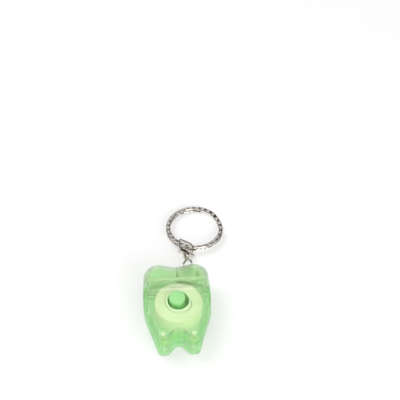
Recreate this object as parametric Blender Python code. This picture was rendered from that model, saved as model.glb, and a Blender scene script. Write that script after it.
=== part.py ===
"""Tooth-shaped floss case on a swivel key chain.

The case lies on its flat back. X is across the tooth, Y points from the roots to the crown, Z from the back
face to the front face, and the origin is the middle of the back face. Sizes are in metres.
"""

import math

import bmesh
import bpy
from mathutils import Matrix, Vector

# Case outline, seen from the front
CROWN_HEIGHT = 0.0183
CROWN_DIP = 0.0017
CUSP_INSET = 0.0061
CUSP_ROUND = 0.0055
DIP_ROUND = 0.006
SHOULDER_TAPER = 0.0011
SHOULDER_DROP = 0.0009
SHOULDER_ROUND = 0.006
WAIST_WIDTH = 0.0284
WAIST_HEIGHT = 0.0006
WAIST_ROUND = 0.018
ROOT_LENGTH = 0.0184
ROOT_OUTER_WIDTH = 0.0165
ROOT_INNER_WIDTH = 0.0086
ROOT_TIP_ROUND = 0.0019
ARCH_DEPTH = 0.0052
ARCH_ROUND = 0.0021

# Case shells
CASE_THICKNESS = 0.015
EDGE_ROUND = 0.0018
WALL = 0.0014
PART_LINE_HEIGHT = 0.0084
SEAM_GAP = 0.0003
SEAM_DROP = 0.0123
HINGE_DROP = 0.0057
LAND_WIDTH = 0.0007
NECK_CLEARANCE = 0.00035
NECK_WALL = 0.0011
DECK_SETBACK = 0.0006
DECK_THICKNESS = 0.0012

# Posts that join the two shells
FIT_CLEARANCE = 0.0003
POST_RISE = 0.0032
POST_DIAMETER = 0.0033
POST_PEG_DIAMETER = 0.0013
POST_PEG_REACH = 0.0035
SPINDLE_DIAMETER = 0.0064
SPINDLE_PEG_DIAMETER = 0.0028
SPINDLE_PEG_REACH = 0.0012
SPINDLE_END_HEIGHT = 0.0026
SPINDLE_OFFSET = 0.0008

# Spool, which hangs loose on the spindle
SPOOL_X = 0.00055
SPOOL_BORE = 0.0090
SPOOL_TUBE_WALL = 0.0008
SPOOL_TUBE_LENGTH = 0.0110
SPOOL_LIFT = 0.0004
FLOSS_THICKNESS = 0.0005
SPOOL_SIDE_ROOM = 0.0043
SPOOL_DECK_ROOM = 0.0004
WINDING_LENGTH = 0.0084
TURN_PITCH = 0.00095

# Cutter
CUTTER_X = 0.0044
CUTTER_WIDTH = 0.0066
CUTTER_LENGTH = 0.0088
CUTTER_THICKNESS = 0.0004
CUTTER_HEIGHT = 0.0078
CUTTER_PEG_SPREAD = 0.0066
CUTTER_PEG_DIAMETER = 0.0011
TOOTH_WIDTH = 0.0024
TOOTH_REACH = 0.0017
TOOTH_TAPER = 0.2
OUTLET_X = -0.00285
OUTLET_DIAMETER = 0.0025
LEAD_START = math.radians(126)
LEAD_LIFT = 0.00055
LEAD_RISE = 0.00185
LEAD_END_GAP = 0.0015

# Jump ring in the crown
EYELET_X = 0.00505
EYELET_SPREAD = 0.0064
EYELET_WIDTH = 0.0034
EYELET_HEIGHT = 0.0045
EYELET_OPENING = 0.0032
JUMP_RING_DIAMETER = 0.0090
JUMP_RING_WIRE = 0.0009
JUMP_RING_SPLIT = 0.0003
JUMP_RING_OFFSET = 0.0024

# Swivel
CHAIN_HEIGHT = 0.00325
EYE_DIAMETER = 0.0052
EYE_WIRE = 0.0011
EYE_ROLL = math.radians(45)
SHANK_DIAMETER = 0.0015
SHANK_LENGTH = 0.0011
COLLAR_DIAMETER = 0.0030
COLLAR_LENGTH = 0.0013
RIVET_HEAD_DIAMETER = 0.0027
RIVET_HEAD_LENGTH = 0.0005
STIRRUP_WIDTH = 0.0078
STIRRUP_LENGTH = 0.0074
STIRRUP_WIRE = 0.0010
STIRRUP_PLATE = 0.0017
STIRRUP_PLATE_DEPTH = 0.0020
STIRRUP_BEND = 0.0012
STIRRUP_ROLL = math.radians(-38)
RUNNING_CLEARANCE = 0.0002

# Split ring
SPLIT_RING_DIAMETER = 0.025
SPLIT_RING_BAND = 0.0019
SPLIT_RING_WIRE = 0.00095
SPLIT_RING_TURN_GAP = 0.0003
SPLIT_RING_TURN = math.radians(-22)
SPLIT_RING_RAMP = math.radians(40)
SPLIT_RING_ENDS_AT = math.radians(75)
SPLIT_RING_SEAT = 0.0024
FACET_ANGLE = math.radians(9)
FACET_DEPTH = 0.0002

SMOOTH_ANGLE = math.radians(35)
CUT_MARGIN = 0.002


def make_material(name, color, roughness, metallic=0.0, transmission=0.0):
    material = bpy.data.materials.new(name)
    material.use_nodes = True
    shader = material.node_tree.nodes["Principled BSDF"]
    shader.inputs["Base Color"].default_value = (*color, 1.0)
    shader.inputs["Roughness"].default_value = roughness
    shader.inputs["Metallic"].default_value = metallic
    shader.inputs["Transmission Weight"].default_value = transmission
    return material


def add_object(name, data):
    obj = bpy.data.objects.new(name, data)
    bpy.context.scene.collection.objects.link(obj)
    return obj


def mesh_from(name, points, faces):
    mesh = bpy.data.meshes.new(name)
    mesh.from_pydata([tuple(point) for point in points], [], faces)
    shape = bmesh.new()
    shape.from_mesh(mesh)
    bmesh.ops.recalc_face_normals(shape, faces=shape.faces)
    shape.to_mesh(mesh)
    shape.free()
    return mesh


def loft(name, rings, closed=False):
    """One solid through rings of equally many points, capped at both ends unless it closes on itself."""
    count = len(rings[0])
    points = [point for ring in rings for point in ring]
    faces = []
    last = len(rings) if closed else len(rings) - 1
    for level in range(last):
        low = level * count
        high = (level + 1) % len(rings) * count
        for k in range(count):
            after = (k + 1) % count
            faces.append((low + k, low + after, high + after, high + k))
    if not closed:
        faces.append(tuple(range(count)))
        faces.append(tuple(range(len(points) - count, len(points))))
    return mesh_from(name, points, faces)


def box(name, low, high):
    around = [(low[0], low[1]), (high[0], low[1]), (high[0], high[1]), (low[0], high[1])]
    rings = [[(x, y, z) for x, y in around] for z in (low[2], high[2])]
    return add_object(name, loft(name, rings))


def lathe(name, profile, steps, center=(0, 0, 0)):
    """Turns a closed outline of (radius, height) points round the upright axis through center."""
    place = Matrix.Translation(center)
    rings = []
    for k in range(steps):
        angle = math.tau * k / steps
        rings.append([place @ Vector((r * math.cos(angle), r * math.sin(angle), h)) for r, h in profile])
    return loft(name, rings, closed=True)


def rod(name, radius, low, high, steps, axis="Z", center=(0, 0, 0)):
    turn_to = Matrix.Rotation(math.radians(-90), 4, "X") if axis == "Y" else Matrix.Identity(4)
    place = Matrix.Translation(center) @ turn_to
    rings = []
    for height in (low, high):
        around = [math.tau * k / steps for k in range(steps)]
        rings.append([place @ Vector((radius * math.cos(a), radius * math.sin(a), height)) for a in around])
    return add_object(name, loft(name, rings))


def combine(target, tool, operation):
    modifier = target.modifiers.new("combine", "BOOLEAN")
    modifier.operation = operation
    modifier.solver = "EXACT"
    modifier.object = tool
    bpy.context.view_layer.objects.active = target
    bpy.ops.object.modifier_apply(modifier=modifier.name)
    bpy.data.objects.remove(tool)


def finish(obj, material):
    obj.data.materials.clear()
    obj.data.materials.append(material)
    obj.data.shade_smooth()
    obj.data.set_sharp_from_angle(angle=SMOOTH_ANGLE)
    return obj


def set_origin(obj, place):
    """Moves the object's origin to the given matrix while its surface stays where it is."""
    obj.data.transform(place.inverted() @ obj.matrix_world)
    obj.matrix_world = place


def cusp_x():
    return WAIST_WIDTH / 2 - SHOULDER_TAPER - CUSP_INSET


def tooth_corners():
    """Corners of the tooth outline, clockwise from the dip in the crown, each with its rounding and steps."""
    half = [
        (cusp_x(), CROWN_HEIGHT, CUSP_ROUND, 3),
        (cusp_x() + CUSP_INSET, CROWN_HEIGHT - SHOULDER_DROP, SHOULDER_ROUND, 7),
        (WAIST_WIDTH / 2, WAIST_HEIGHT, WAIST_ROUND, 5),
        (ROOT_OUTER_WIDTH / 2, -ROOT_LENGTH, ROOT_TIP_ROUND, 5),
        (ROOT_INNER_WIDTH / 2, -ROOT_LENGTH, ROOT_TIP_ROUND, 4),
    ]
    mirrored = [(-x, y, rounding, steps) for x, y, rounding, steps in reversed(half)]
    dip = (0, CROWN_HEIGHT - CROWN_DIP, DIP_ROUND, 4)
    arch = (0, ARCH_DEPTH - ROOT_LENGTH, ARCH_ROUND, 7)
    return [dip, *half, arch, *mirrored]


def crown_corners(low_y):
    """The crown end of the tooth outline, closed by a straight line across at low_y."""
    corners = tooth_corners()
    shoulder_x, shoulder_y = corners[2][:2]
    waist_x, waist_y = corners[3][:2]
    low_x = waist_x + (shoulder_x - waist_x) * (low_y - waist_y) / (shoulder_y - waist_y)
    return [*corners[:3], (low_x, low_y, 0, 1), (-low_x, low_y, 0, 1), *corners[-2:]]


def rounded_outline(corners, inset):
    """Moves every side inward by inset, then rounds the corners, so that the wall is even all round."""
    count = len(corners)
    spots = [Vector(corner[:2]) for corner in corners]
    moved = []
    turns = []
    for k in range(count):
        arriving = (spots[k] - spots[k - 1]).normalized()
        leaving = (spots[(k + 1) % count] - spots[k]).normalized()
        inward = (Vector((arriving.y, -arriving.x)) + Vector((leaving.y, -leaving.x))).normalized()
        turn = arriving.angle_signed(leaving)
        moved.append(spots[k] + inward * inset / math.cos(turn / 2))
        turns.append(turn)
    outline = []
    for k, (_, _, rounding, steps) in enumerate(corners):
        turn = turns[k]
        radius = max(rounding - inset if turn > 0 else rounding + inset, 0.0001)
        reach = radius * math.tan(abs(turn) / 2)
        arriving = (moved[k] - moved[k - 1]).normalized()
        start = moved[k] - arriving * reach
        side = Vector((arriving.y, -arriving.x)) * (1 if turn > 0 else -1)
        center = start + side * radius
        spoke = start - center
        for step in range(steps + 1):
            angle = -turn * step / steps
            outline.append(center + Matrix.Rotation(angle, 2) @ spoke)
    return outline


def prism(name, corners, levels):
    """A solid through (inset, height) levels of one outline."""
    rings = [[(p.x, p.y, height) for p in rounded_outline(corners, inset)] for inset, height in levels]
    return add_object(name, loft(name, rings))


def rounded_levels():
    """Levels of the outside, from the back face up, with both edges rounded."""
    steps = 4
    levels = []
    for k in range(steps + 1):
        angle = math.pi / 2 * k / steps
        levels.append((EDGE_ROUND * (1 - math.sin(angle)), EDGE_ROUND * (1 - math.cos(angle))))
    return levels + [(inset, CASE_THICKNESS - height) for inset, height in reversed(levels)]


def hinge_y():
    return CROWN_HEIGHT - HINGE_DROP


def seam_y(height):
    """Where the lid's slanted seam lies at a height above the back face."""
    return hinge_y() + (HINGE_DROP - SEAM_DROP) * height / CASE_THICKNESS


def beyond_seam(name, shift, toward_crown=True):
    """A block that holds everything on one side of the seam, moved by shift along Y."""
    heights = (-CUT_MARGIN, CASE_THICKNESS + CUT_MARGIN)
    far = CROWN_HEIGHT + CUT_MARGIN if toward_crown else -ROOT_LENGTH - CUT_MARGIN
    rings = []
    for x in (-WAIST_WIDTH, WAIST_WIDTH):
        rings.append([
            (x, seam_y(heights[0]) + shift, heights[0]),
            (x, far, heights[0]),
            (x, far, heights[1]),
            (x, seam_y(heights[1]) + shift, heights[1]),
        ])
    return add_object(name, loft(name, rings))


def neck_inset():
    return WALL + NECK_CLEARANCE


def deck_outer_y():
    return hinge_y() - DECK_SETBACK


def deck_inner_y():
    return deck_outer_y() - DECK_THICKNESS


def winding_diameter():
    return WAIST_WIDTH - 2 * SPOOL_SIDE_ROOM


def spool_y():
    return deck_inner_y() - SPOOL_DECK_ROOM - winding_diameter() / 2


def spindle_center():
    return (0, spool_y() + SPINDLE_OFFSET, 0)


def post_center(side):
    return (side * (ROOT_OUTER_WIDTH + ROOT_INNER_WIDTH) / 4, POST_RISE - ROOT_LENGTH, 0)


def cut_above(obj, height):
    top = (WAIST_WIDTH, CROWN_HEIGHT + CUT_MARGIN, CASE_THICKNESS + CUT_MARGIN)
    combine(obj, box("cut", (-WAIST_WIDTH, -ROOT_LENGTH - CUT_MARGIN, height), top), "DIFFERENCE")


def cut_below(obj, height):
    top = (WAIST_WIDTH, CROWN_HEIGHT + CUT_MARGIN, height)
    combine(obj, box("cut", (-WAIST_WIDTH, -ROOT_LENGTH - CUT_MARGIN, -CUT_MARGIN), top), "DIFFERENCE")


def hollow_body():
    """The case below the lid as one hollow shell, neck and deck included, before it is parted."""
    body = prism("body", tooth_corners(), rounded_levels())
    combine(body, beyond_seam("cut", -SEAM_GAP / 2), "DIFFERENCE")

    low_y = seam_y(CASE_THICKNESS) - 2 * LAND_WIDTH
    neck_top = CASE_THICKNESS - neck_inset()
    neck = prism("neck", crown_corners(low_y), [(neck_inset(), WALL / 2), (neck_inset(), neck_top)])
    crown_side = (WAIST_WIDTH, CROWN_HEIGHT + CUT_MARGIN, CASE_THICKNESS + CUT_MARGIN)
    combine(neck, box("cut", (-WAIST_WIDTH, deck_outer_y(), -CUT_MARGIN), crown_side), "DIFFERENCE")
    combine(neck, beyond_seam("cut", -LAND_WIDTH / 2, toward_crown=False), "DIFFERENCE")
    combine(body, neck, "UNION")

    room = prism("room", tooth_corners(), [(WALL, WALL), (WALL, CASE_THICKNESS - WALL)])
    combine(room, beyond_seam("cut", -LAND_WIDTH), "DIFFERENCE")
    combine(body, room, "DIFFERENCE")

    inner = neck_inset() + NECK_WALL
    levels = [(inner, WALL), (inner, CASE_THICKNESS - inner)]
    neck_room = prism("neck_room", crown_corners(low_y - inner), levels)
    combine(neck_room, box("cut", (-WAIST_WIDTH, deck_inner_y(), -CUT_MARGIN), crown_side), "DIFFERENCE")
    combine(body, neck_room, "DIFFERENCE")

    outlet_reach = (deck_inner_y() - CUT_MARGIN, deck_outer_y() + CUT_MARGIN)
    outlet = rod("outlet", OUTLET_DIAMETER / 2, *outlet_reach, 16, "Y", (OUTLET_X, 0, PART_LINE_HEIGHT))
    combine(body, outlet, "DIFFERENCE")
    return body


def cutter_peg(shell, side):
    """The peg on one half of the deck that holds an end of the cutter."""
    height = CUTTER_HEIGHT + side * CUTTER_PEG_SPREAD / 2
    reach = (deck_outer_y() - DECK_THICKNESS / 2, deck_outer_y() + 3 * FIT_CLEARANCE + CUTTER_THICKNESS)
    combine(shell, rod("peg", CUTTER_PEG_DIAMETER / 2, *reach, 12, "Y", (CUTTER_X, 0, height)), "UNION")


def make_front_shell(material):
    shell = hollow_body()
    shell.name = "front_shell"
    edge = PART_LINE_HEIGHT + SEAM_GAP / 2
    cut_below(shell, edge)
    into_wall = CASE_THICKNESS - WALL / 2
    for side in (-1, 1):
        center = post_center(side)
        combine(shell, rod("post", POST_DIAMETER / 2, edge, into_wall, 20, "Z", center), "UNION")
        socket = POST_PEG_DIAMETER / 2 + FIT_CLEARANCE
        depth = edge + POST_PEG_REACH + FIT_CLEARANCE
        combine(shell, rod("socket", socket, edge - CUT_MARGIN, depth, 16, "Z", center), "DIFFERENCE")
    spindle = spindle_center()
    tube_radius = SPINDLE_DIAMETER / 2
    combine(shell, rod("tube", tube_radius, SPINDLE_END_HEIGHT, into_wall, 28, "Z", spindle), "UNION")
    bore = SPINDLE_PEG_DIAMETER / 2 + FIT_CLEARANCE
    bore_end = CASE_THICKNESS - 2 * WALL
    combine(shell, rod("bore", bore, 0, bore_end, 20, "Z", spindle), "DIFFERENCE")
    cutter_peg(shell, 1)
    return finish(shell, material)


def make_back_shell(material):
    shell = hollow_body()
    shell.name = "back_shell"
    edge = PART_LINE_HEIGHT - SEAM_GAP / 2
    cut_above(shell, edge)
    for side in (-1, 1):
        center = post_center(side)
        combine(shell, rod("post", POST_DIAMETER / 2, WALL / 2, edge, 20, "Z", center), "UNION")
        peg_end = edge + SEAM_GAP + POST_PEG_REACH
        combine(shell, rod("peg", POST_PEG_DIAMETER / 2, WALL, peg_end, 16, "Z", center), "UNION")
    spindle = spindle_center()
    peg_end = edge + SPINDLE_PEG_REACH
    combine(shell, rod("peg", SPINDLE_PEG_DIAMETER / 2, WALL / 2, peg_end, 20, "Z", spindle), "UNION")
    outer = SPOOL_BORE / 2 + SPOOL_TUBE_WALL
    inner = SPINDLE_DIAMETER / 2 + FIT_CLEARANCE
    top = WALL + SPOOL_LIFT
    profile = [(inner, WALL / 2), (outer, WALL / 2), (outer, top), (inner, top)]
    rest = add_object("rest", lathe("rest", profile, 28, (SPOOL_X, spool_y(), 0)))
    combine(shell, rest, "UNION")
    cutter_peg(shell, -1)
    return finish(shell, material)


def make_flip_lid(material):
    lid = prism("flip_lid", tooth_corners(), rounded_levels())
    combine(lid, beyond_seam("cut", SEAM_GAP / 2, toward_crown=False), "DIFFERENCE")
    low_y = seam_y(CASE_THICKNESS) - CUT_MARGIN
    room = prism("room", crown_corners(low_y), [(WALL, WALL), (WALL, CASE_THICKNESS - WALL)])
    combine(lid, room, "DIFFERENCE")
    half_width = EYELET_WIDTH / 2
    for side in (-1, 1):
        x = EYELET_X + side * EYELET_SPREAD / 2
        low = (x - half_width, eyelet_y() - WALL - CUT_MARGIN, EYELET_HEIGHT - EYELET_OPENING / 2)
        high = (x + half_width, CROWN_HEIGHT + CUT_MARGIN, EYELET_HEIGHT + EYELET_OPENING / 2)
        combine(lid, box("eyelet", low, high), "DIFFERENCE")
    set_origin(lid, Matrix.Translation((0, hinge_y(), 0)))
    return finish(lid, material)


def make_cutter_plate(material):
    back = deck_outer_y() + FIT_CLEARANCE
    front = back + CUTTER_THICKNESS
    half_width = CUTTER_WIDTH / 2
    half_length = CUTTER_LENGTH / 2
    low = (CUTTER_X - half_width, back, CUTTER_HEIGHT - half_length)
    high = (CUTTER_X + half_width, front, CUTTER_HEIGHT + half_length)
    plate = box("cutter_plate", low, high)
    hole = CUTTER_PEG_DIAMETER / 2 + FIT_CLEARANCE
    reach = (back - CUT_MARGIN, front + CUT_MARGIN)
    for side in (-1, 1):
        center = (CUTTER_X, 0, CUTTER_HEIGHT + side * CUTTER_PEG_SPREAD / 2)
        combine(plate, rod("hole", hole, *reach, 16, "Y", center), "DIFFERENCE")
    half_tooth = TOOTH_WIDTH / 2
    window_low = (CUTTER_X - half_tooth, back - CUT_MARGIN, CUTTER_HEIGHT - half_tooth)
    window_high = (CUTTER_X + half_tooth, front + CUT_MARGIN, CUTTER_HEIGHT + half_tooth)
    combine(plate, box("window", window_low, window_high), "DIFFERENCE")
    combine(plate, cutter_tooth(back), "UNION")
    return finish(plate, material)


def cutter_tooth(back):
    """The tongue that is bent out of the window, tapering from its root in the plate to its point."""
    root_x = CUTTER_X + TOOTH_WIDTH / 2
    point_x = CUTTER_X - TOOTH_WIDTH / 4
    under = back + CUTTER_THICKNESS / 4
    over = back + CUTTER_THICKNESS
    side_view = [(root_x + CUTTER_THICKNESS, under), (root_x + CUTTER_THICKNESS, over)]
    side_view += [(point_x, back + TOOTH_REACH), (root_x, under)]
    rings = []
    for half in (TOOTH_WIDTH / 2, -TOOTH_WIDTH / 2):
        taper = {point_x: TOOTH_TAPER}
        rings.append([(x, y, CUTTER_HEIGHT + half * taper.get(x, 1)) for x, y in side_view])
    return add_object("tooth", loft("tooth", rings))


def spool_heights():
    """Heights of the spool tube's ends and of the winding's faces."""
    low = WALL + SPOOL_LIFT + FIT_CLEARANCE
    middle = low + SPOOL_TUBE_LENGTH / 2
    return low, low + SPOOL_TUBE_LENGTH, middle - WINDING_LENGTH / 2, middle + WINDING_LENGTH / 2


def make_bobbin_core(material):
    low, high, _, _ = spool_heights()
    inner = SPOOL_BORE / 2
    outer = inner + SPOOL_TUBE_WALL
    mesh = lathe("bobbin_core", [(inner, low), (outer, low), (outer, high), (inner, high)], 32)
    core = add_object("bobbin_core", mesh)
    core.location = (SPOOL_X, spool_y(), 0)
    return finish(core, material)


def make_floss_bulk(material):
    _, _, low, high = spool_heights()
    inner = SPOOL_BORE / 2 + SPOOL_TUBE_WALL + FIT_CLEARANCE
    outer = winding_diameter() / 2 - FLOSS_THICKNESS - FIT_CLEARANCE
    edge = FLOSS_THICKNESS
    profile = [(inner, low), (outer - edge, low), (outer, low + edge)]
    profile += [(outer, high - edge), (outer - edge, high), (inner, high)]
    bulk = add_object("floss_bulk", lathe("floss_bulk", profile, 40))
    bulk.location = (SPOOL_X, spool_y(), 0)
    return finish(bulk, material)


def tube(name, points, thickness, resolution, material):
    curve = bpy.data.curves.new(name, "CURVE")
    curve.dimensions = "3D"
    curve.bevel_depth = thickness / 2
    curve.bevel_resolution = resolution
    curve.use_fill_caps = True
    spline = curve.splines.new("POLY")
    spline.points.add(len(points) - 1)
    for point, place in zip(spline.points, points):
        point.co = (*place, 1)
    curve.materials.append(material)
    return add_object(name, curve)


def least_gap(points, steps_per_turn, thickness):
    """The smallest open space between one turn and the next, measured between their centre lines."""
    least = math.inf
    for k, point in enumerate(points):
        for other in points[k + steps_per_turn // 2:]:
            least = min(least, (point - other).length)
    return least - thickness


def make_floss_turns(material):
    """The outer layer of the winding, one unbroken tube from face to face."""
    _, _, low, high = spool_heights()
    radius = (winding_diameter() - FLOSS_THICKNESS) / 2
    steps_per_turn = 24
    climb = high - low - 2 * FLOSS_THICKNESS
    steps = round(climb / TURN_PITCH * steps_per_turn)
    points = []
    for k in range(steps + 1):
        angle = -math.tau * k / steps_per_turn
        height = low + FLOSS_THICKNESS + climb * k / steps
        points.append(Vector((radius * math.cos(angle), radius * math.sin(angle), height)))
    for end, step in ((0, 1), (-1, -1)):
        run = (points[end] - points[end + step]).normalized() * FLOSS_THICKNESS
        points.insert(0 if end == 0 else len(points), points[end] + run)
    print("least gap between turns, mm:", round(least_gap(points, steps_per_turn, FLOSS_THICKNESS) * 1000, 3))
    turns = tube("floss_turns", points, FLOSS_THICKNESS, 1, material)
    turns.location = (SPOOL_X, spool_y(), 0)
    return turns


def smooth_route(points, steps):
    """Points along a Catmull-Rom curve through the given ones."""
    points = [Vector(point) for point in points]
    padded = [2 * points[0] - points[1], *points, 2 * points[-1] - points[-2]]
    route = []
    for k in range(1, len(padded) - 2):
        a, b, c, d = padded[k - 1:k + 3]
        for step in range(steps):
            t = step / steps
            square = (2 * a - 5 * b + 4 * c - d) * t ** 2
            cube = (3 * b - a - 3 * c + d) * t ** 3
            route.append((2 * b + (c - a) * t + square + cube) / 2)
    return [*route, points[-1]]


def make_floss_lead(material):
    """The floss from the winding through the outlet in the deck to the cutter's tooth."""
    reach = winding_diameter() / 2 + LEAD_LIFT
    middle = (deck_inner_y() + deck_outer_y()) / 2
    slack = OUTLET_DIAMETER / 3
    over = deck_outer_y() + LEAD_RISE
    end = CUTTER_X - LEAD_END_GAP
    route = [
        (SPOOL_X + reach * math.cos(LEAD_START), spool_y() + reach * math.sin(LEAD_START), PART_LINE_HEIGHT),
        (OUTLET_X - slack, deck_inner_y() - slack / 2, PART_LINE_HEIGHT),
        (OUTLET_X, middle, PART_LINE_HEIGHT),
        (OUTLET_X + slack, deck_outer_y() + slack / 2, PART_LINE_HEIGHT),
        (OUTLET_X + 2 * slack, (deck_outer_y() + slack + over) / 2, PART_LINE_HEIGHT),
        (end - 2 * LEAD_END_GAP, over, (PART_LINE_HEIGHT + CUTTER_HEIGHT) / 2),
        (end - LEAD_END_GAP, over, CUTTER_HEIGHT),
        (end, over, CUTTER_HEIGHT),
    ]
    return tube("floss_lead", smooth_route(route, 2), FLOSS_THICKNESS, 2, material)


def wire_ring(name, diameter, wire, split, steps, sides):
    """A ring of round wire in the XY plane; a split leaves it open at the point on +X."""
    half_split = split / diameter
    rings = []
    for k in range(steps + 1 if split else steps):
        angle = half_split + (math.tau - 2 * half_split) * k / steps
        outward = Vector((math.cos(angle), math.sin(angle), 0))
        ring = []
        for side in range(sides):
            around = math.tau * (side + 0.5) / sides
            radius = diameter / 2 + wire / 2 * math.cos(around)
            ring.append(outward * radius + Vector((0, 0, wire / 2 * math.sin(around))))
        rings.append(ring)
    return loft(name, rings, closed=not split)


def crown_y_at(x):
    """The outside of the crown at a place across the tooth, on the line from the dip to the cusp."""
    low = CROWN_HEIGHT - CROWN_DIP
    return low + CROWN_DIP * min(abs(x) / cusp_x(), 1)


def eyelet_y():
    return crown_y_at(EYELET_X) - WALL / 2


def jump_ring_droop():
    """How far the jump ring tips down, so that the swivel's eye lies at the chain's height."""
    outer = JUMP_RING_OFFSET + JUMP_RING_DIAMETER / 2
    return math.asin((EYELET_HEIGHT - CHAIN_HEIGHT) / outer)


def jump_ring_frame():
    """The jump ring's own frame: origin in the crown's wall, Y towards its far end."""
    place = Matrix.Translation((EYELET_X, eyelet_y(), EYELET_HEIGHT))
    return place @ Matrix.Rotation(-jump_ring_droop(), 4, "X")


def make_jump_ring(material):
    mesh = wire_ring("jump_ring", JUMP_RING_DIAMETER, JUMP_RING_WIRE, JUMP_RING_SPLIT, 32, 8)
    mesh.transform(Matrix.Translation((0, JUMP_RING_OFFSET, 0)))
    ring = add_object("jump_ring", mesh)
    ring.matrix_world = jump_ring_frame()
    return finish(ring, material)


def jump_ring_center():
    return jump_ring_frame() @ Vector((0, JUMP_RING_OFFSET, 0))


def chain_start_y():
    """The middle of the jump ring's wire where the swivel's eye hangs on it."""
    return (jump_ring_frame() @ Vector((0, JUMP_RING_OFFSET + JUMP_RING_DIAMETER / 2, 0))).y


def eye_center_y():
    play = (JUMP_RING_WIRE + EYE_WIRE) / 2 + RUNNING_CLEARANCE
    return chain_start_y() + EYE_DIAMETER / 2 - play


def collar_y():
    return eye_center_y() + (EYE_DIAMETER + EYE_WIRE) / 2 + SHANK_LENGTH


def plate_y():
    return collar_y() + COLLAR_LENGTH + RUNNING_CLEARANCE


def make_swivel_eye(material):
    center = Vector((EYELET_X, eye_center_y(), CHAIN_HEIGHT))
    mesh = wire_ring("swivel_eye", EYE_DIAMETER, EYE_WIRE, 0, 24, 8)
    mesh.transform(Matrix.Translation(center) @ Matrix.Rotation(-EYE_ROLL, 4, "Y"))
    eye = add_object("swivel_eye", mesh)
    shank = SHANK_DIAMETER / 2
    head_start = plate_y() + STIRRUP_PLATE + RUNNING_CLEARANCE
    start = center.y + EYE_DIAMETER / 2
    profile = [
        (0, start),
        (EYE_WIRE / 2, start),
        (EYE_WIRE, start + EYE_WIRE / 2),
        (shank, collar_y()),
        (COLLAR_DIAMETER / 2, collar_y()),
        (COLLAR_DIAMETER / 2, collar_y() + COLLAR_LENGTH),
        (shank, collar_y() + COLLAR_LENGTH),
        (shank, head_start),
        (RIVET_HEAD_DIAMETER / 2, head_start),
        (RIVET_HEAD_DIAMETER / 2, head_start + RIVET_HEAD_LENGTH / 2),
        (RIVET_HEAD_DIAMETER / 3, head_start + RIVET_HEAD_LENGTH),
        (0, head_start + RIVET_HEAD_LENGTH),
    ]
    stem = add_object("stem", turned("stem", profile, 16, (EYELET_X, 0, CHAIN_HEIGHT)))
    combine(eye, stem, "UNION")
    place = Matrix.Translation(jump_ring_center()) @ Matrix.Rotation(-jump_ring_droop(), 4, "X")
    set_origin(eye, place)
    return finish(eye, material)


def turned(name, profile, steps, center):
    """A solid bar turned round the line along Y through center; the profile starts and ends on that line."""
    points = [Vector((0, profile[0][1], 0)), Vector((0, profile[-1][1], 0))]
    rows = profile[1:-1]
    for radius, along in rows:
        for k in range(steps):
            angle = math.tau * k / steps
            points.append(Vector((radius * math.cos(angle), along, radius * math.sin(angle))))
    faces = []
    last = 2 + (len(rows) - 1) * steps
    for k in range(steps):
        after = (k + 1) % steps
        faces.append((0, 2 + k, 2 + after))
        faces.append((1, last + after, last + k))
        for row in range(len(rows) - 1):
            low = 2 + row * steps
            high = low + steps
            faces.append((low + k, high + k, high + after, low + after))
    return mesh_from(name, [point + Vector(center) for point in points], faces)


def stirrup_bow():
    """The wire bent round from one end of the plate to the other."""
    wire = STIRRUP_WIRE / 2
    side = STIRRUP_WIDTH / 2 - wire
    bend_y = STIRRUP_LENGTH - wire - STIRRUP_BEND
    bend_steps = 4
    path = [Vector((-side, STIRRUP_PLATE / 2, 0))]
    for bend_x, first in ((STIRRUP_BEND - side, math.pi), (side - STIRRUP_BEND, math.pi / 2)):
        for k in range(bend_steps + 1):
            angle = first - math.pi / 2 * k / bend_steps
            turn = Vector((math.cos(angle), math.sin(angle), 0)) * STIRRUP_BEND
            path.append(Vector((bend_x, bend_y, 0)) + turn)
    path.append(Vector((side, STIRRUP_PLATE / 2, 0)))
    sides = 8
    rings = []
    for k, spot in enumerate(path):
        before = path[max(k - 1, 0)]
        after = path[min(k + 1, len(path) - 1)]
        along = (after - before).normalized()
        across = Vector((along.y, -along.x, 0))
        ring = []
        for point in range(sides):
            around = math.tau * (point + 0.5) / sides
            ring.append(spot + across * wire * math.cos(around) + Vector((0, 0, wire * math.sin(around))))
        rings.append(ring)
    return add_object("bow", loft("bow", rings))


def make_swivel_stirrup(material):
    """The end plate with its hole, and the bent wire that the key ring hangs in."""
    half_width = STIRRUP_WIDTH / 2
    half_depth = STIRRUP_PLATE_DEPTH / 2
    plate = box("swivel_stirrup", (-half_width, 0, -half_depth), (half_width, STIRRUP_PLATE, half_depth))
    hole = SHANK_DIAMETER / 2 + RUNNING_CLEARANCE
    combine(plate, rod("hole", hole, -CUT_MARGIN, STIRRUP_PLATE + CUT_MARGIN, 16, "Y"), "DIFFERENCE")
    combine(plate, stirrup_bow(), "UNION")
    place = Matrix.Translation((EYELET_X, plate_y(), CHAIN_HEIGHT)) @ Matrix.Rotation(-STIRRUP_ROLL, 4, "Y")
    plate.matrix_world = place
    return finish(plate, material)


def split_ring_radius():
    return (SPLIT_RING_DIAMETER - SPLIT_RING_BAND) / 2


def split_ring_drop():
    """How far the key ring tips down from the stirrup to the surface that it lies on."""
    half_height = SPLIT_RING_WIRE + SPLIT_RING_TURN_GAP / 2
    return math.asin((CHAIN_HEIGHT - half_height) / (split_ring_radius() + SPLIT_RING_DIAMETER / 2))


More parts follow.
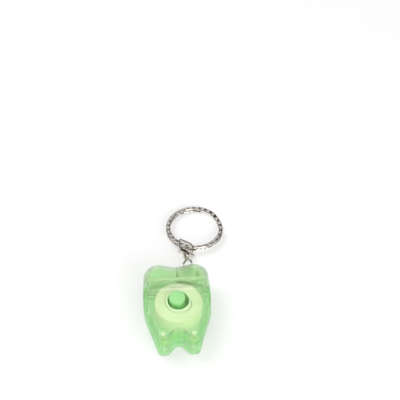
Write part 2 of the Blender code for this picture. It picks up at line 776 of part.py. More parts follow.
def make_split_ring(material):
    """Two turns of flat wire, one over the other, joined by a ramp, with facets cut along the outside."""
    step_count = round((2 * math.tau - SPLIT_RING_RAMP) / FACET_ANGLE)
    level = (SPLIT_RING_WIRE + SPLIT_RING_TURN_GAP) / 2
    ramp_end = math.tau
    ramp_start = ramp_end - SPLIT_RING_RAMP
    inner = split_ring_radius() - SPLIT_RING_BAND / 2
    outer = split_ring_radius() + SPLIT_RING_BAND / 2
    half = SPLIT_RING_WIRE / 2
    chamfer = SPLIT_RING_WIRE / 4
    rings = []
    for k in range(step_count):
        along = (2 * math.tau - 2 * SPLIT_RING_RAMP) * k / (step_count - 1) + SPLIT_RING_RAMP / 2
        climb = min(max((along - ramp_start) / (ramp_end - ramp_start), 0), 1)
        height = -level + 2 * level * climb * climb * (3 - 2 * climb)
        cut = FACET_DEPTH * (k % 2)
        section = [
            (inner, half - chamfer),
            (inner, -half + chamfer),
            (inner + chamfer, -half),
            (outer - chamfer - cut, -half),
            (outer - cut, -half + chamfer),
            (outer - cut, half - chamfer),
            (outer - chamfer - cut, half),
            (inner + chamfer, half),
        ]
        angle = along + SPLIT_RING_ENDS_AT
        spoke = Vector((math.cos(angle), math.sin(angle), 0))
        rings.append([spoke * radius + Vector((0, split_ring_radius(), height + z)) for radius, z in section])
    ring = add_object("split_ring", loft("split_ring", rings))
    seat = Vector((EYELET_X, plate_y() + STIRRUP_PLATE + SPLIT_RING_SEAT, CHAIN_HEIGHT))
    turn = Matrix.Rotation(SPLIT_RING_TURN, 4, "Z") @ Matrix.Rotation(-split_ring_drop(), 4, "X")
    ring.matrix_world = Matrix.Translation(seat) @ turn
    return finish(ring, material)


def build():
    for obj in list(bpy.data.objects):
        bpy.data.objects.remove(obj)
    green = {"color": (0.42, 0.80, 0.36), "roughness": 0.25, "transmission": 0.8}
    floss = {"color": (0.93, 0.93, 0.84), "roughness": 0.6}
    nickel = {"color": (0.70, 0.67, 0.63), "roughness": 0.2, "metallic": 1.0}
    make_front_shell(make_material("front_shell", **green))
    make_back_shell(make_material("back_shell", **green))
    make_flip_lid(make_material("flip_lid", **green))
    make_cutter_plate(make_material("cutter_plate", (0.72, 0.72, 0.70), 0.25, metallic=1.0))
    make_bobbin_core(make_material("bobbin_core", (0.86, 0.87, 0.82), 0.4))
    make_floss_bulk(make_material("floss_bulk", **floss))
    make_floss_turns(make_material("floss_turns", **floss))
    make_floss_lead(make_material("floss_lead", **floss))
    make_jump_ring(make_material("jump_ring", **nickel))
    make_swivel_eye(make_material("swivel_eye", **nickel))
    make_swivel_stirrup(make_material("swivel_stirrup", **nickel))
    make_split_ring(make_material("split_ring", **nickel))


build()
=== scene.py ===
import math

import bmesh
import bpy
from mathutils import Matrix, Vector


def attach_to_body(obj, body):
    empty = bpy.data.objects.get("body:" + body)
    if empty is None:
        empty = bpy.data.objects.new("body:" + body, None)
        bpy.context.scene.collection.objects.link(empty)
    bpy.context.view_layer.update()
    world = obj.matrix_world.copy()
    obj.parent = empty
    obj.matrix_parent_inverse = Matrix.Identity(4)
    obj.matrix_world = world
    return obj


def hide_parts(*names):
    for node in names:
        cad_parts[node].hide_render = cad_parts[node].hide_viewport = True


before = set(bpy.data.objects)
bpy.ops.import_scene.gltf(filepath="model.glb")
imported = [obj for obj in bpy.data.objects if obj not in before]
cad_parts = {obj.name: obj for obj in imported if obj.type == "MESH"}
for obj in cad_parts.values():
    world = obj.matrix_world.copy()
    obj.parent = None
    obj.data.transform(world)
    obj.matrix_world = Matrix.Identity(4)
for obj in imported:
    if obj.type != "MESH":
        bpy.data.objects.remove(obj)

mm = 0.001
white = (1, 1, 1, 1)
scene = bpy.context.scene
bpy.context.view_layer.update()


# The photograph's view, a pale floor and soft light

studio = {
    "cameraAt": (-7.0, -313.5, 466.3),  # mm
    "cameraLooksAt": (12.7, 63.6, 0.0),
    "cameraWidth": 17.0,  # degrees across the picture
    "filmWidth": 36.0,
    "nearest": 0.01,  # metres from the camera
    "floorSize": 6.0,  # metres
    "floorColor": (0.95, 0.95, 0.95),
    "floorGlow": 0.4,  # how much of the floor's white is plain background
    "floorWhiteFrom": 0.15,  # metres from the part, where that share starts to grow
    "floorWhiteGain": 2.0,  # per metre
    "worldLight": 0.72,
    # the ways to the unlit room behind the camera and to two black screens, which only metal and gloss mirror
    "darkSides": ((0.0, -0.72, 0.69), (-0.80, 0.42, 0.43), (0.72, 0.62, 0.32)),
    "darkSpread": ((0.35, 0.75), (0.65, 0.85), (0.65, 0.85)),
    "darkness": 0.03,
    "lampsAimAt": (0.0, 15.0, 5.0),
    "keyPower": 3.6,
    "keyAt": (-450.0, 250.0, 800.0),
    "keySize": 500.0,
    "fillPower": 3.6,
    "fillAt": (350.0, -620.0, 420.0),
    "fillSize": 500.0,
}


def aim(thing, place, target):
    thing.location = Vector(place) * mm
    thing.rotation_euler = (Vector(target) - Vector(place)).to_track_quat("-Z", "Y").to_euler()


def softBox(name, place, size, power):
    lamp = bpy.data.lights.new(name, "AREA")
    lamp.shape = "SQUARE"
    lamp.size = size * mm
    lamp.energy = power
    holder = bpy.data.objects.new(name, lamp)
    scene.collection.objects.link(holder)
    aim(holder, place, studio["lampsAimAt"])


class Socket:
    # a shader socket that takes part in sums like a number
    def __init__(self, tree, socket):
        self.tree = tree
        self.socket = socket

    def sum(self, operation, *terms):
        step = self.tree.nodes.new("ShaderNodeMath")
        step.operation = operation
        for slot, term in zip(step.inputs, terms):
            if isinstance(term, Socket):
                self.tree.links.new(term.socket, slot)
            else:
                slot.default_value = term
        return Socket(self.tree, step.outputs[0])

    def __add__(self, other):
        return self.sum("ADD", self, other)

    __radd__ = __add__

    def __sub__(self, other):
        return self.sum("SUBTRACT", self, other)

    def __rsub__(self, other):
        return self.sum("SUBTRACT", other, self)

    def __mul__(self, other):
        return self.sum("MULTIPLY", self, other)

    __rmul__ = __mul__

    def __truediv__(self, other):
        return self.sum("DIVIDE", self, other)

    def __pow__(self, other):
        return self.sum("POWER", self, other)

    def larger(self, other):
        return self.sum("MAXIMUM", self, other)

    def smaller(self, other):
        return self.sum("MINIMUM", self, other)

    def absolute(self):
        return self.sum("ABSOLUTE", self)

    def below(self, limit):
        return self.sum("LESS_THAN", self, limit)


class Nodes:
    # a node tree, with one way to add a node to it
    def __init__(self, tree):
        self.tree = tree

    def node(self, kind, settings=None, sockets=None, output=0):
        made = self.tree.nodes.new(kind)
        for key, value in (settings or {}).items():
            setattr(made, key, value)
        self.feed(made, sockets or {})
        return Socket(self.tree, made.outputs[output])

    def feed(self, made, sockets):
        for key, value in sockets.items():
            if isinstance(value, Socket):
                self.tree.links.new(value.socket, made.inputs[key])
            else:
                made.inputs[key].default_value = value

    def rays(self, kind):
        return self.node("ShaderNodeLightPath", output=f"Is {kind} Ray")

    def seen(self):
        # 1 where the camera, gloss or clear plastic looks, and 0 where light falls
        return self.rays("Camera").larger(self.rays("Glossy")).larger(self.rays("Transmission"))

    def mixShaders(self, share, first, second):
        return self.node("ShaderNodeMixShader", sockets={0: share, 1: first, 2: second})


class Finish(Nodes):
    # one material
    def __init__(self, name):
        self.material = bpy.data.materials.new(name)
        self.material.use_nodes = True
        super().__init__(self.material.node_tree)
        self.shader = self.tree.nodes["Principled BSDF"]

    def paint(self, sockets):
        self.feed(self.shader, sockets)
        return self.material

    def mix(self, share, other):
        # a second surface where share is 1
        plain = Socket(self.tree, self.shader.outputs[0])
        self.feed(self.tree.nodes["Material Output"], {"Surface": self.mixShaders(share, plain, other)})

    def place(self):
        return self.node("ShaderNodeTexCoord", output="Object")

    def noise(self, size, detail=3.0, roughness=0.5, stretch=(1, 1, 1)):
        # cloudy noise with spots of about this size in mm, even round 0.5
        spread = self.node("ShaderNodeMapping", sockets={"Vector": self.place(), "Scale": stretch})
        return self.node("ShaderNodeTexNoise", sockets={
            "Vector": spread, "Scale": 1 / (size * mm), "Detail": detail, "Roughness": roughness})

    def along(self, axis):
        return self.node("ShaderNodeSeparateXYZ", sockets={"Vector": self.place()}, output=axis)

    def within(self, *spans):
        # 1 inside every span, which is an axis, its middle and its reach each way in mm
        inside = 1.0
        for axis, middle, reach in spans:
            inside = (self.along(axis) - middle * mm).absolute().below(reach * mm) * inside
        return inside

    def around(self, x, y, reach):
        # 1 within reach of an upright axis, in mm
        across, along = self.along("X") - x * mm, self.along("Y") - y * mm
        return ((across * across + along * along) ** 0.5).below(reach * mm)

    def blend(self, share, first, second):
        colors = {0: share, 6: (*first, 1), 7: (*second, 1)}
        return self.node("ShaderNodeMix", {"data_type": "RGBA"}, colors, 2)

    def bump(self, height, depth):
        # depth in mm between a height of 0 and 1
        return self.node("ShaderNodeBump", sockets={
            "Height": height, "Distance": depth * mm, "Strength": 1.0})


def makeFloor():
    bpy.ops.object.select_all(action="DESELECT")
    bpy.ops.mesh.primitive_plane_add(size=studio["floorSize"])
    floor = bpy.context.object
    floor.name = "floor"
    finish = Finish("floorPaper")
    finish.paint({"Base Color": (*studio["floorColor"], 1), "Roughness": 0.9, "Specular IOR Level": 0.0})
    # all white far from the part, where the lamps don't reach
    away = finish.node("ShaderNodeVectorMath", {"operation": "LENGTH"}, {0: finish.place()}, "Value")
    share = (away - studio["floorWhiteFrom"]) * studio["floorWhiteGain"]
    glow = finish.node("ShaderNodeEmission", sockets={"Color": white, "Strength": 1.0})
    finish.mix(finish.seen() * share.larger(studio["floorGlow"]).smaller(1.0), glow)
    floor.data.materials.append(finish.material)


def makeWorld():
    world = bpy.data.worlds.new("studio")
    world.use_nodes = True
    scene.world = world
    sky = Nodes(world.node_tree)
    sky.tree.nodes.clear()
    toward = sky.node("ShaderNodeTexCoord", output="Generated")
    bright = 1.0
    for side, (far, near) in zip(studio["darkSides"], studio["darkSpread"]):
        facing = sky.node("ShaderNodeVectorMath", {"operation": "DOT_PRODUCT"}, {
            0: toward, 1: Vector(side).normalized()}, "Value")
        fade = sky.node("ShaderNodeMapRange", {"interpolation_type": "SMOOTHSTEP"}, {
            0: facing, 1: far, 2: near, 3: 1.0, 4: studio["darkness"]})
        bright = fade * bright
    light = sky.node("ShaderNodeBackground", sockets={"Strength": studio["worldLight"]})
    backdrop = sky.node("ShaderNodeBackground", sockets={"Color": white, "Strength": 1.0})
    mirrored = sky.node("ShaderNodeBackground", sockets={"Strength": bright})
    plain = sky.mixShaders(sky.seen(), light, backdrop)
    output = sky.tree.nodes.new("ShaderNodeOutputWorld")
    sky.feed(output, {"Surface": sky.mixShaders(sky.rays("Glossy"), plain, mirrored)})


def makeStudio():
    lens = bpy.data.cameras.new("camera")
    lens.sensor_width = studio["filmWidth"]
    lens.lens = studio["filmWidth"] / 2 / math.tan(math.radians(studio["cameraWidth"]) / 2)
    lens.clip_start = studio["nearest"]
    camera = bpy.data.objects.new("camera", lens)
    scene.collection.objects.link(camera)
    aim(camera, studio["cameraAt"], studio["cameraLooksAt"])
    scene.camera = camera
    softBox("keyLight", studio["keyAt"], studio["keySize"], studio["keyPower"])
    softBox("fillLight", studio["fillAt"], studio["fillSize"], studio["fillPower"])
    makeFloor()
    makeWorld()
    scene.view_settings.view_transform = "Standard"


makeStudio()
print("studio ready")


# Modelling helpers

past = 1.0  # mm, how far a cutting tool reaches past a face
square = 0.9  # of a unit length, for what points nearly along an axis
parallel = 0.999  # the same, for what points exactly along a direction
nothing = 0.0001  # mm, for what has no length or height


def deselect():
    bpy.ops.object.select_all(action="DESELECT")


def choose(piece):
    deselect()
    piece.select_set(True)
    bpy.context.view_layer.objects.active = piece


def edit(piece):
    choose(piece)
    bpy.ops.object.mode_set(mode="EDIT")


def leave():
    bpy.ops.object.mode_set(mode="OBJECT")
    return bpy.context.object


def selectAll():
    bpy.ops.mesh.select_all(action="SELECT")


def pick(kind, test):
    # selects the vertices, edges or faces of the piece in edit mode that pass the test
    bpy.ops.mesh.select_mode(type=kind)
    bpy.ops.mesh.select_all(action="DESELECT")
    mesh = bpy.context.object.data
    shape = bmesh.from_edit_mesh(mesh)
    for item in {"VERT": shape.verts, "EDGE": shape.edges, "FACE": shape.faces}[kind]:
        if test(item):
            item.select_set(True)
    shape.select_flush_mode()
    bmesh.update_edit_mesh(mesh)


def pull(x, y, z):
    bpy.ops.mesh.extrude_region_move(TRANSFORM_OT_translate={"value": (x * mm, y * mm, z * mm)})


def pullPoint(x, y, z):
    bpy.ops.mesh.extrude_vertices_move(TRANSFORM_OT_translate={"value": (x * mm, y * mm, z * mm)})


def shift(x, y, z):
    bpy.ops.transform.translate(value=(x * mm, y * mm, z * mm))


def spin(steps, angle, middle, axis=(0, 0, 1)):
    # a positive angle turns clockwise, seen from the axis's point
    bpy.ops.mesh.spin(steps=steps, angle=angle, center=Vector(middle) * mm, axis=axis)


def cut(place, direction, clearOuter=False, clearInner=False, fill=False):
    selectAll()
    bpy.ops.mesh.bisect(plane_co=Vector(place) * mm, plane_no=direction, clear_outer=clearOuter,
                        clear_inner=clearInner, use_fill=fill, threshold=1e-7)


def pickOpenEnds():
    pick("EDGE", lambda edge: len(edge.link_faces) == 1)


def bridgeOpenEnds():
    pickOpenEnds()
    bpy.ops.mesh.bridge_edge_loops()


def fillOpenEnds():
    pickOpenEnds()
    bpy.ops.mesh.fill_holes(sides=0)


def weld(distance):
    # points closer than this in mm become one
    selectAll()
    bpy.ops.mesh.remove_doubles(threshold=distance * mm)


def faceOutward():
    selectAll()
    bpy.ops.mesh.normals_make_consistent(inside=False)


def startPoint(name, x, y, z):
    # one vertex to draw from
    deselect()
    bpy.ops.mesh.primitive_plane_add(size=mm, location=(0, 0, 0))
    piece = bpy.context.object
    piece.name = name
    edit(piece)
    bpy.ops.mesh.select_mode(type="VERT")
    selectAll()
    bpy.ops.mesh.merge(type="CENTER")
    shift(x, y, z)
    return piece


def modify(piece, kind, **settings):
    choose(piece)
    step = piece.modifiers.new(kind.lower(), kind)
    for key, value in settings.items():
        setattr(step, key, value)
    bpy.ops.object.modifier_apply(modifier=step.name)


def combine(piece, tool, operation):
    modify(piece, "BOOLEAN", object=tool, operation=operation, solver="EXACT")
    bpy.data.objects.remove(tool)


def unite(piece, tool):
    combine(piece, tool, "UNION")


def carve(piece, tool):
    combine(piece, tool, "DIFFERENCE")


def attach(piece, other):
    choose(piece)
    other.select_set(True)
    bpy.ops.object.join()


def settle(piece, smooth=30):
    # its place goes into its mesh, and the mesh is cleaned and shaded
    choose(piece)
    bpy.ops.object.transform_apply(location=True, rotation=True, scale=True)
    edit(piece)
    weld(0.001)
    leave()
    bpy.ops.object.shade_smooth_by_angle(angle=math.radians(smooth))


def duplicate(piece, name):
    choose(piece)
    bpy.ops.object.duplicate()
    twin = bpy.context.object
    twin.name = name
    return twin


def dress(piece, finish, body, slot, *replaced):
    piece.data.materials.clear()
    piece.data.materials.append(finish)
    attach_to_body(piece, body)
    if replaced:
        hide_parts(*replaced)
    print(piece.name, "ready,", len(piece.data.polygons), "faces")


def rod(name, radius, low, high, place=(0, 0), axis="Z", steps=48, rim=0.0):
    # a round bar between two heights, or along Y at an (x, z) place, its ends rounded by rim
    deselect()
    middle = (low + high) / 2 * mm
    x, other = place[0] * mm, place[1] * mm
    where = (x, other, middle) if axis == "Z" else (x, middle, other)
    turn = (0, 0, 0) if axis == "Z" else (math.pi / 2, 0, 0)
    bpy.ops.mesh.primitive_cylinder_add(
        vertices=steps, radius=radius * mm, depth=(high - low) * mm, location=where, rotation=turn)
    bar = bpy.context.object
    bar.name = name
    bpy.ops.object.transform_apply(location=True, rotation=True, scale=True)
    if rim:
        edit(bar)
        pick("EDGE", lambda edge: any(len(face.verts) > 4 for face in edge.link_faces))
        bpy.ops.mesh.bevel(offset=rim * mm, segments=3, profile=0.5)
        leave()
    return bar


def sleeve(name, inner, outer, low, high, place, rim=0.1, steps=64):
    # a tube with rounded ends
    bar = rod(name, outer, low, high, place, steps=steps)
    edit(bar)
    pick("FACE", lambda face: len(face.verts) > 4)
    bpy.ops.mesh.inset(thickness=(outer - inner) * mm)
    bpy.ops.mesh.bridge_edge_loops()
    pick("EDGE", lambda edge: edge.calc_face_angle(0) > 1)
    bpy.ops.mesh.bevel(offset=rim * mm, segments=3, profile=0.5)
    leave()
    return bar


def direction(edge):
    return (edge.verts[0].co - edge.verts[1].co).normalized()


def slab(name, low, high, rounding=0.0, along=None, steps=4):
    # a block, its edges along one axis or all of them rounded
    deselect()
    bpy.ops.mesh.primitive_cube_add(size=1.0, location=[(a + b) / 2 * mm for a, b in zip(low, high)])
    block = bpy.context.object
    block.name = name
    block.scale = [(b - a) * mm for a, b in zip(low, high)]
    bpy.ops.object.transform_apply(location=True, rotation=True, scale=True)
    if rounding:
        edit(block)
        pick("EDGE", lambda edge: along is None or abs(direction(edge)[along]) > square)
        bpy.ops.mesh.bevel(offset=rounding * mm, segments=steps, profile=0.5)
        leave()
    return block


# Finishes

# where the green plastic is deeper or clearer, where it is milky, and where a paler colour is painted light;
# a span is an axis, its middle and its reach in mm
tint = {
    "sideFrom": 12.4,  # mm from the middle at the waist
    "sideLean": (0.313, -0.065),  # how the sides draw in towards the roots and the crown
    "crownFrom": 15.2,  # mm from the waist
    "archFrom": 0.4,  # mm into the wall
    "archSquare": (0.637, 0.770),  # the way square to the arch's slope, along and across
    "archShare": 1.5,
    # on the lid over the neck: clearer, its colour painted paler, painted light
    "lidOverNeck": (("X", 0.0, 11.6), ("Y", 7.6, 2.2), ("Z", 14.2, 1.0)),
    "lidShare": 0.5,
    "inside": ("Z", 7.5, 5.9),
    # about the neck: clearer, its colour painted paler, painted light that lifts the shade inside the case
    "neck": (("X", 0.0, 12.25), ("Y", 8.6, 3.6)),
    "neckShare": 1.5,
    # a pale band of painted light on the deck's upper end, strongest by the cutter, over the shade there
    "deck": (("X", 0.0, 12.25), ("Y", 11.4, 0.7)),
    "deckLightFrom": 10.0,  # mm above the back face
    "deckLightOver": 1.5,
    "byCutter": ("X", 4.4, 4.2),
    "cutterShare": 3.5,
    "tube": ("Z", 8.3, 6.3),
    # pale bands painted across the posts at two heights: painted highlights
    "postHighlights": (("Z", 8.4, 0.2), ("Z", 12.4, 0.2)),
    "margin": 0.1,  # mm round the tube and the posts
}


def deeperEdge(finish):
    # deeper along the sides, the crown and the arch, where light goes lengthwise through the wall
    along, across = finish.along("Y") / mm, (finish.along("X") / mm).absolute()
    fromWaist = along - tooth["corners"][3][1]
    towardRoots, towardCrown = tint["sideLean"]
    side = across - (fromWaist * towardRoots).smaller(fromWaist * towardCrown) - tint["sideFrom"]
    crown = fromWaist - tint["crownFrom"]
    fromArch = along - tooth["corners"][-1][1]
    alongShare, acrossShare = tint["archSquare"]
    arch = tint["archFrom"] - (fromArch * alongShare + across * acrossShare)
    return side.larger(crown).larger(arch * tint["archShare"]).larger(0.0).smaller(1.0)


def greenPlastic(name, back, front, haze, shell=False):
    # clearer towards the front face and about the neck, where the colour is also painted paler as painted
    # light that lifts the shade. Inside a shell the posts are clearer too, their colour painted paler the
    # same way, and the spindle is milky, while pale bands on the posts are painted highlights and a pale band
    # on the deck's upper end is painted light
    finish = Finish(name)
    clouds = finish.noise(7.0, 2.0)
    skin = finish.bump(finish.noise(0.35, 2.0), 0.004)
    height = finish.along("Z") / (tooth["thickness"] * mm)
    edge = deeperEdge(finish)
    if shell:
        inside = finish.within(tint["inside"])
        neck = finish.within(*tint["neck"])
        reach = post["radius"] + tint["margin"]
        posts = finish.around(-post["x"], post["y"], reach) + finish.around(post["x"], post["y"], reach)
        # the neck and the posts: clearer, their colour painted paler, painted light that lifts the shade
        # inside
        clear = (neck * tint["neckShare"] + posts) * inside
        # pale bands across the posts: painted highlights
        low, high = [finish.within(span) for span in tint["postHighlights"]]
        postHighlights = posts * (low + high)
        tube = finish.around(spindle["x"], spindle["y"], spindle["radius"] + tint["margin"])
        tube = tube * finish.within(tint["tube"])
        # a pale band of painted light on the deck's upper end, strongest by the cutter, over the shade there
        upward = (finish.along("Z") - tint["deckLightFrom"] * mm) / (tint["deckLightOver"] * mm)
        byCutter = finish.within(tint["byCutter"])
        deckLightBand = finish.within(*tint["deck"]) * inside * (upward + byCutter * tint["cutterShare"])
        # share of the pale colour: painted light on the deck, painted highlights on the posts, and cloudy
        # variation
        pale = deckLightBand + postHighlights * 0.8 + clouds * 0.2
        # the spindle's own milky plastic, and the painted highlights and painted light of the posts and the
        # deck
        milkAndPaintedLight = finish.node("ShaderNodeBsdfPrincipled", sockets={
            "Base Color": finish.blend(pale, (0.38, 0.80, 0.36), (0.88, 1.0, 0.76)),
            "Roughness": 0.5 + clouds * 0.1,
            "Normal": skin,
        })
        finish.mix(tube + deckLightBand + postHighlights, milkAndPaintedLight)
    else:
        # the lid over the neck: clearer, its colour painted paler, painted light
        clear = finish.within(*tint["lidOverNeck"]) * tint["lidShare"]
    return finish.paint({
        "Base Color": finish.blend(height + clouds * 0.2 - 0.1 + clear - edge * 0.6, back, front),
        "Roughness": 0.2 + clouds * 0.1,
        "IOR": 1.15,
        "Transmission Weight": 0.93,
        "Alpha": haze - height * 0.3 - clear * 0.26 + edge * 0.1,
        "Coat Weight": 0.25,
        "Coat Roughness": 0.12,
        "Normal": skin,
    })


def flossWhite():
    finish = Finish("flossWhite")
    fibres = finish.noise(0.12, 2.0, stretch=(1, 1, 2.5))
    patches = finish.noise(2.5, 2.0)
    return finish.paint({
        "Base Color": finish.blend(patches * 0.5 + fibres * 0.5, (0.93, 0.96, 0.76), (0.98, 1.0, 0.87)),
        "Roughness": 0.55 + fibres * 0.3,
        "Sheen Weight": 0.3,
        "Normal": finish.bump(fibres, 0.02),
    })


def corePlastic():
    # pale green inside, bare rim and outside as white as the floss
    finish = Finish("corePlastic")
    clouds = finish.noise(3.0, 2.0)
    grain = finish.noise(0.3, 2.0)
    bore = finish.around(spool["x"], spool["y"], spool["inner"] + tint["margin"])
    return finish.paint({
        "Base Color": finish.blend(bore * 0.9 + clouds * 0.2, (0.95, 1.0, 0.90), (0.78, 1.0, 0.70)),
        "Roughness": 0.3 + clouds * 0.15,
        "Normal": finish.bump(grain, 0.004),
    })


def nickelPlate():
    finish = Finish("nickelPlate")
    clouds = finish.noise(1.6, 3.0)
    marks = finish.noise(0.25, 3.0, 0.6)
    return finish.paint({
        "Base Color": finish.blend(clouds, (0.58, 0.53, 0.48), (0.92, 0.88, 0.83)),
        "Metallic": 1.0,
        "Roughness": 0.09 + marks * 0.14,
        "Normal": finish.bump(marks, 0.006),
    })


def cutterSteel():
    finish = Finish("cutterSteel")
    rolled = finish.noise(0.2, 3.0, stretch=(0.08, 1, 1))
    clouds = finish.noise(2.0, 2.0)
    return finish.paint({
        "Base Color": finish.blend(clouds, (0.84, 0.84, 0.83), (0.95, 0.95, 0.94)),
        "Metallic": 0.8,
        "Roughness": 0.36 + rolled * 0.2,
        "Normal": finish.bump(rolled, 0.006),
    })


# The tooth-shaped case: outline, wall, slanted seam and the neck that the lid closes over

tooth = {
    "corners": (  # mm across and along, rounding, steps: the right half, from the crown's dip to the arch
        (0, 16.6, 6.0, 8), (7.0, 18.3, 5.5, 8), (13.1, 17.4, 6.0, 16), (14.2, 0.6, 18.0, 8),
        (8.25, -18.4, 1.9, 10), (4.3, -18.4, 1.9, 8), (0, -13.2, 2.1, 14)),
    "thickness": 15.0,
    "edgeRound": 1.8,
    "edgeSteps": 7,
    "wall": 1.4,
    "hingeY": 12.6,
    "seamDrop": 6.6,  # how far the seam comes towards the roots from the back face to the front
    "gap": 0.3,
    "neckInset": 1.75,
    "neckDraw": (1, 0.975, 0.975),  # the neck is drawn in a little from the walls
    "neckWeld": 0.25,
    "neckEndY": 12.0,
    "parting": 8.4,
    "rim": 0.12,
}
post = {"x": 6.275, "y": -15.2, "radius": 1.65, "peg": 0.65, "socket": 0.95, "reach": 3.5, "rim": 0.15}
spindle = {"x": 0.0, "y": 1.3, "radius": 3.2, "bore": 1.7, "low": 2.6, "boreTop": 12.2, "peg": 1.4,
           "pegTop": 9.45, "rim": 0.2}
outlet = {"x": -2.85, "radius": 1.25, "low": 9.0, "high": 13.5}
deckPeg = {"x": 4.4, "places": (11.1, 4.5), "radius": 0.55, "low": 11.4, "high": 13.3, "rim": 0.12}
spool = {"x": 0.55, "y": 0.5, "inner": 4.5, "outer": 5.3, "low": 2.1, "high": 13.1, "rim": 0.15}
spoolRest = {"inner": 3.5, "outer": 5.3, "top": 1.8}
crownward = Vector((0, tooth["thickness"], tooth["seamDrop"])).normalized()  # square to the seam


def roundedCorners(corners):
    # where each rounding starts, the middle that it turns about, its turn and its steps
    whole = list(corners) + [(-x, y, radius, steps) for x, y, radius, steps in reversed(corners[1:-1])]
    spots = [Vector(corner[:2]) for corner in whole]
    made = []
    for k, (_, _, radius, steps) in enumerate(whole):
        arriving = (spots[k] - spots[k - 1]).normalized()
        leaving = (spots[(k + 1) % len(spots)] - spots[k]).normalized()
        turn = arriving.angle_signed(leaving)
        start = spots[k] - arriving * radius * math.tan(abs(turn) / 2)
        side = Vector((arriving.y, -arriving.x)) * (1 if turn > 0 else -1)
        made.append((start, start + side * radius, turn, steps))
    return made


def drawTooth(name):
    # the point is pulled along each straight side and spun round each corner, and the outline is filled
    arcs = roundedCorners(tooth["corners"])
    at = arcs[0][0]
    piece = startPoint(name, at.x, at.y, 0)
    for start, middle, turn, steps in arcs:
        if (start - at).length > nothing:
            pullPoint(start.x - at.x, start.y - at.y, 0)
        spin(steps, turn, (middle.x, middle.y, 0))
        at = middle + Matrix.Rotation(-turn, 2) @ (start - middle)
    weld(0.002)
    bpy.ops.mesh.edge_face_add()
    return piece


def toothBlock(name):
    piece = drawTooth(name)
    selectAll()
    pull(0, 0, tooth["thickness"])
    faceOutward()
    pick("EDGE", lambda edge: abs(edge.verts[0].co.z - edge.verts[1].co.z) < nothing * mm)
    bpy.ops.mesh.bevel(offset=tooth["edgeRound"] * mm, segments=tooth["edgeSteps"], profile=0.5,
                       clamp_overlap=False)
    leave()
    return piece


def thicken(piece):
    modify(piece, "SOLIDIFY", thickness=tooth["wall"] * mm, offset=-1.0, use_even_offset=True)


def softenRims(piece):
    modify(piece, "BEVEL", width=tooth["rim"] * mm, segments=2, limit_method="ANGLE",
           angle_limit=math.radians(45), use_clamp_overlap=True)


def hollowBody():
    # the whole case below the lid: the seam's face is inset and pulled out into the neck and its deck
    piece = toothBlock("case")
    edit(piece)
    seamY = tooth["hingeY"] - tooth["gap"] / 2
    cut((0, seamY, 0), crownward, clearOuter=True, fill=True)
    pick("FACE", lambda face: face.normal.dot(crownward) > parallel)
    bpy.ops.mesh.inset(thickness=tooth["neckInset"] * mm, use_even_offset=True)
    middle = Vector((0, seamY - tooth["seamDrop"] / 2, tooth["thickness"] / 2)) * mm
    bpy.ops.transform.resize(value=tooth["neckDraw"], center_override=middle)
    bpy.ops.mesh.remove_doubles(threshold=tooth["neckWeld"] * mm)
    pull(0, tooth["hingeY"], 0)
    cut((0, tooth["neckEndY"], 0), (0, 1, 0), clearOuter=True, fill=True)
    leave()
    thicken(piece)
    return piece


def halfShell(whole, name, side):
    # one half of the body, from the parting line up or down
    half = duplicate(whole, name)
    edit(half)
    height = tooth["parting"] + side * tooth["gap"] / 2
    cut((0, 0, height), (0, 0, 1), clearOuter=side < 0, clearInner=side > 0)
    bridgeOpenEnds()
    leave()
    softenRims(half)
    return half


wholeCase = hollowBody()
frontShell = halfShell(wholeCase, "frontShell", 1)
backShell = halfShell(wholeCase, "backShell", -1)
bpy.data.objects.remove(wholeCase)


def fitDeck(shell, place):
    # the cutter's peg on the deck, and the floss's outlet
    unite(shell, rod("peg", deckPeg["radius"], deckPeg["low"], deckPeg["high"], (deckPeg["x"], place), "Y",
                     steps=24, rim=deckPeg["rim"]))
    carve(shell, rod("outlet", outlet["radius"], outlet["low"], outlet["high"],
                     (outlet["x"], tooth["parting"]), "Y", steps=32))


def fitFront(shell):
    edge = tooth["parting"] + tooth["gap"] / 2
    intoWall = tooth["thickness"] - tooth["wall"] / 2
    for side in (-1, 1):
        place = (side * post["x"], post["y"])
        unite(shell, rod("post", post["radius"], edge, intoWall, place, rim=post["rim"]))
        carve(shell, rod("socket", post["socket"], edge - past, edge + post["reach"] + tooth["gap"], place))
    fitDeck(shell, deckPeg["places"][0])
    # the tube's milky end shows inside the clear wall
    place = (spindle["x"], spindle["y"])
    tube = rod("tube", spindle["radius"], spindle["low"], intoWall, place, steps=64, rim=spindle["rim"])
    carve(tube, rod("bore", spindle["bore"], spindle["low"] - past, spindle["boreTop"], place))
    attach(shell, tube)
    settle(shell)


def fitBack(shell):
    edge = tooth["parting"] - tooth["gap"] / 2
    intoWall = tooth["wall"] / 2
    for side in (-1, 1):
        place = (side * post["x"], post["y"])
        unite(shell, rod("post", post["radius"], intoWall, edge, place, rim=post["rim"]))
        unite(shell, rod("peg", post["peg"], edge - past, edge + tooth["gap"] + post["reach"], place,
                         steps=32, rim=post["rim"]))
    place = (spindle["x"], spindle["y"])
    unite(shell, rod("peg", spindle["peg"], intoWall, spindle["pegTop"], place, rim=spindle["rim"]))
    unite(shell, sleeve("rest", spoolRest["inner"], spoolRest["outer"], intoWall, spoolRest["top"],
                        (spool["x"], spool["y"])))
    fitDeck(shell, deckPeg["places"][1])
    settle(shell)


shellGreen = greenPlastic(
    "shellGreen", back=(0.36, 0.90, 0.30), front=(0.70, 1.0, 0.46), haze=0.60, shell=True)
fitFront(frontShell)
dress(frontShell, shellGreen, "case", "shell_green", "front_shell")
fitBack(backShell)
dress(backShell, shellGreen, "case", "shell_green", "back_shell")


# The lid, with two holes in its crown for the jump ring

eyelets = {"x": 5.05, "spread": 6.4, "width": 3.4, "z": 4.5, "height": 3.2, "rounding": 0.5,
           "low": 13.5, "high": 20.0}


